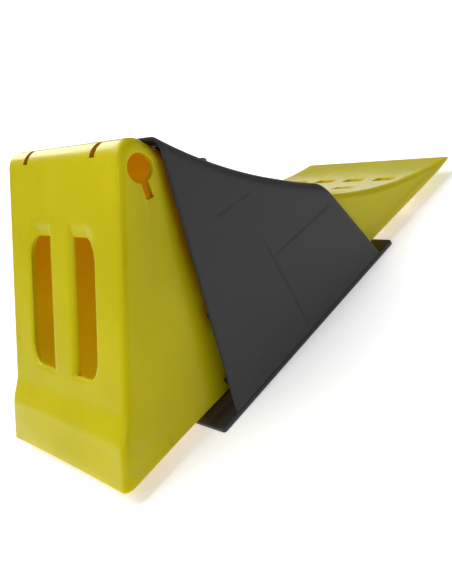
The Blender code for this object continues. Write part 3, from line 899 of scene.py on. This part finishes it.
def sleeve_shell():
    """Wall of even thickness between the rims, with rounded rims."""
    bend = SLEEVE_WALL / 2
    rows = [(share, bend * (1 - 2 * share), 0.0) for share in steps(0.0, 1.0, SLEEVE_STEPS)]
    rows += [(1.0, -bend + bend * math.sin(turn), bend * (1 - math.cos(turn)))
             for turn in steps(0.0, math.pi, RIM_TURNS)[1:-1]]
    rows += [(share, bend * (1 - 2 * share), SLEEVE_WALL)
             for share in steps(1.0, 0.0, SLEEVE_STEPS)]
    rows += [(0.0, bend - bend * math.sin(turn), bend * (1 + math.cos(turn)))
             for turn in steps(0.0, math.pi, RIM_TURNS)[1:-1]]
    bm = bmesh.new()
    rings = [[bm.verts.new(point) for point in sleeve_row(*row)] for row in rows]
    for i, ring in enumerate(rings):
        following = rings[(i + 1) % len(rings)]
        for j in range(len(ring) - 1):
            bm.faces.new((ring[j], following[j], following[j + 1], ring[j + 1]))
    bm.faces.new([ring[0] for ring in reversed(rings)])
    bm.faces.new([ring[-1] for ring in rings])
    bmesh.ops.recalc_face_normals(bm, faces=bm.faces)
    mesh = bpy.data.meshes.new("sleeve")
    bm.to_mesh(mesh)
    bm.free()
    return mesh


def guide_ribs():
    """Three long ribs inside each side and two under the roof, which steer the chock."""
    solids = []
    bite = SLEEVE_WALL / 2
    for z in GUIDE_HEIGHTS:
        low, high = z - GUIDE_THICKNESS / 2, z + GUIDE_THICKNESS / 2
        start = rim_x(REAR_RIM, high) + GUIDE_SETBACK[0]
        end = rim_x(FRONT_RIM, high) - GUIDE_SETBACK[1]
        while ramp_z(end) < high + GUIDE_HEADROOM:
            end -= GUIDE_STEP
        for side in (-1, 1):
            inner = side * (half_width(z) + GUIDE_CLEARANCE)
            outline = [Vector((start + GUIDE_LEAD_IN, inner)), Vector((end, inner)),
                       Vector((end, side * (side_y(end, z) - bite))),
                       Vector((start, side * (side_y(start, z) - bite)))]
            solids.append(loft("guide", [[(p.x, p.y, level) for p in outline]
                                         for level in (low, high)]))
    spine = steps(ROOF_RIB_X[0], ROOF_RIB_X[1], 20)
    outline = [ramp_point(x, GUIDE_CLEARANCE) for x in spine]
    outline += [roof_point(x, -bite) for x in reversed(spine)]
    for side in (-1, 1):
        middle = side * ROOF_RIB_Y
        solids.append(prism_y("roof_rib", outline, middle - GUIDE_THICKNESS / 2,
                              middle + GUIDE_THICKNESS / 2))
    return joined("guide_ribs", solids)


def tongue_window():
    """Opening in the roof that the latch tongue moves in."""
    spine = steps(*WINDOW_X, 12)
    outline = [ramp_point(x, WINDOW_CUT[0]) for x in spine]
    outline += [roof_point(x, WINDOW_CUT[1]) for x in reversed(spine)]
    return prism_y("window", outline, TONGUE_Y[0] - TONGUE_CLEARANCE,
                   TONGUE_Y[1] + TONGUE_CLEARANCE)


def build_sleeve(finish):
    """Dark sleeve with its ribs and the tongue's window."""
    piece = new_object("sleeve_moulding", sleeve_shell())
    piece.data.materials.append(finish)
    combine(piece, guide_ribs(), "UNION", [finish], 0)
    combine(piece, tongue_window(), "DIFFERENCE", [finish], 0)
    finished(piece, "holder_sleeve", "holder")


def soften(piece, width):
    """Rounded edges on a plain moulding."""
    modifier = piece.modifiers.new("soften", "BEVEL")
    modifier.width = width
    modifier.segments = 2
    modifier.limit_method = "ANGLE"
    modifier.angle_limit = math.radians(BEVEL_DEGREES)
    evaluated(piece)


def fixing_slots():
    """Four slotted screw holes on a rectangle."""
    length, width = FIXING_SLOT
    radius = width / 2
    solids = []
    for x in FIXING_X:
        for y in (-FIXING_Y, FIXING_Y):
            outline = []
            for end, start_turn in ((1, -math.pi / 2), (-1, math.pi / 2)):
                middle = x + end * (length / 2 - radius)
                for turn in steps(start_turn, start_turn + math.pi, 14):
                    outline.append((middle + radius * math.cos(turn), y + radius * math.sin(turn)))
            solids.append(loft("slot", [[(a, b, height - SOLE_HEIGHT) for a, b in outline]
                                        for height in FIXING_CUT]))
    return joined("fixing_slots", solids)


def build_plate(finish):
    """Base plate with rounded corners, runners and slotted screw holes."""
    rear, front = PLATE_X
    loops = []
    for z in (-SOLE_HEIGHT, PLATE_THICKNESS - SOLE_HEIGHT):
        corners = [Vector((rear, -side_y(rear, z))), Vector((front, -side_y(front, z))),
                   Vector((front, side_y(front, z))), Vector((rear, side_y(rear, z)))]
        outline = []
        for i in range(4):
            outline += fillet(corners[i - 1], corners[i], corners[(i + 1) % 4], PLATE_CORNER, 6)
        loops.append([(p.x, p.y, z) for p in outline])
    piece = new_object("base_plate", loft("base_plate", loops))
    piece.data.materials.append(finish)
    runners = []
    for middle in (-RUNNER_Y[1], -RUNNER_Y[0], RUNNER_Y[0], RUNNER_Y[1]):
        low = Vector((rear + RUNNER_END, RUNNER_BITE - SOLE_HEIGHT))
        high = Vector((front - RUNNER_END, -GAP))
        outline = [low, Vector((high.x, low.y)), high, Vector((low.x, high.y))]
        runners.append(prism_y("runner", outline, middle - RUNNER_WIDTH / 2,
                               middle + RUNNER_WIDTH / 2))
    combine(piece, joined("runners", runners), "UNION", [finish], 0)
    combine(piece, fixing_slots(), "DIFFERENCE", [finish], 0)
    soften(piece, PLATE_EDGE)
    finished(piece, "holder_base_plate", "holder")


def build_tongue(finish):
    """Strip flush with the roof, with a round root, a nose on the ramp and a thumb lip."""
    pivot = roof_point(TONGUE_ROOT_X, -TONGUE_THICKNESS / 2)
    normal = ramp_normal(TONGUE_ROOT_X)
    along = Vector((normal.y, -normal.x))
    root = [pivot + (normal * math.cos(turn) - along * math.sin(turn)) * TONGUE_THICKNESS / 2
            for turn in steps(0.0, math.pi, 12)]
    lower = [roof_point(x, -TONGUE_THICKNESS)
             for x in steps(STRIP_START_X, NOSE_SLOPE_X, STRIP_STEPS)]
    nose = [ramp_point(x, TONGUE_NOSE_GAP) for x in NOSE_X]
    nose.append(roof_point(TONGUE_END_X - LIP_CHAMFER, -TONGUE_THICKNESS))
    lip = [roof_point(TONGUE_END_X, -LIP_CHAMFER),
           roof_point(TONGUE_END_X, TONGUE_LIP - LIP_CHAMFER),
           roof_point(TONGUE_END_X - LIP_CHAMFER, TONGUE_LIP),
           roof_point(LIP_BACK_X, TONGUE_LIP - LIP_BACK_DROP),
           roof_point(LIP_FOOT_X[1])]
    upper = [roof_point(x) for x in steps(LIP_FOOT_X[0], STRIP_START_X, STRIP_STEPS)]
    outline = root + lower + nose + lip + upper
    piece = new_object("tongue_moulding", prism_y("tongue", outline, *TONGUE_Y))
    piece.data.materials.append(finish)
    soften(piece, TONGUE_EDGE)
    finished(piece, "latch_tongue", "latch")


# Surroundings -------------------------------------------------------------------------------

def area_light(name, place, size, power):
    """Soft square light aimed at the middle of the object."""
    data = bpy.data.lights.new(name, "AREA")
    data.shape = "SQUARE"
    data.size = size
    data.energy = power
    lamp = new_object(name, data)
    lamp.location = place
    lamp.rotation_euler = (LIGHTS_AIM - place).to_track_quat("-Z", "Y").to_euler()


def build_floor():
    """Wide pale floor that emits a part of its own brightness."""
    bm = bmesh.new()
    bmesh.ops.create_circle(bm, cap_ends=True, segments=96, radius=FLOOR_RADIUS)
    mesh = bpy.data.meshes.new("floor")
    bm.to_mesh(mesh)
    bm.free()
    floor = new_object("floor", mesh)
    paint = Nodes("floor_paint")
    tint = paint.mix(paint.noise(3.0), *FLOOR_TINTS)
    paint.link(tint, paint.shader.inputs["Base Color"])
    paint.settle({"Roughness": 0.9, "Emission Color": WHITE, "Emission Strength": FLOOR_GLOW})
    mesh.materials.append(paint.material)


def build_lights():
    """Soft studio lights, and a world that is brighter as a backdrop than as a light."""
    world = bpy.data.worlds.new("studio")
    world.use_nodes = True
    background = world.node_tree.nodes["Background"]
    background.inputs["Color"].default_value = WHITE
    seen = world.node_tree.nodes.new("ShaderNodeLightPath").outputs["Is Camera Ray"]
    strength = world.node_tree.nodes.new("ShaderNodeMapRange")
    strength.inputs["To Min"].default_value = WORLD_STRENGTH
    strength.inputs["To Max"].default_value = BACKDROP_STRENGTH
    world.node_tree.links.new(seen, strength.inputs["Value"])
    world.node_tree.links.new(strength.outputs["Result"], background.inputs["Strength"])
    bpy.context.scene.world = world
    area_light("key", *KEY_LIGHT)
    sky = bpy.data.lights.new("sky", "SUN")
    sky.angle = SKY_ANGLE
    sky.energy = SKY_STRENGTH
    new_object("sky", sky).rotation_euler = SKY_TURN
    area_light("behind", *BEHIND_LIGHT)
    area_light("spark", *SPARK_LIGHT)
    area_light("fill", *FILL_LIGHT)


def build_camera():
    """Camera at the photograph's angle, with its roll."""
    data = bpy.data.cameras.new("camera")
    data.sensor_fit = "VERTICAL"
    data.sensor_height = 36.0
    data.lens = CAMERA_LENS
    data.clip_start = 0.01
    camera = new_object("camera", data)
    look = CAMERA_LOOK.normalized()
    level = look.cross(Vector((0.0, 0.0, 1.0))).normalized()
    rise = level.cross(look)
    right = level * math.cos(CAMERA_ROLL) + rise * math.sin(CAMERA_ROLL)
    up = right.cross(look)
    turned = Matrix((right, up, -look)).transposed()
    camera.matrix_world = Matrix.Translation(CAMERA_PLACE) @ turned.to_4x4()
    bpy.context.scene.camera = camera
    bpy.context.scene.view_settings.view_transform = "Standard"


build_floor()
build_lights()
build_camera()
build_chock(yellow_polyethylene(), inside_painted_shade_and_glow())
build_sleeve(dark_polypropylene("dark_grey_sleeve", SLEEVE_TONE, GRAIN, SLEEVE_DENTS_WITH_PAINTED_SHADE))
build_plate(dark_polypropylene("dark_grey_base", PLATE_TONE, GRAIN, ()))
build_tongue(dark_polypropylene("dark_grey_tongue", TONGUE_TONE, TONGUE_GRAIN, ()))
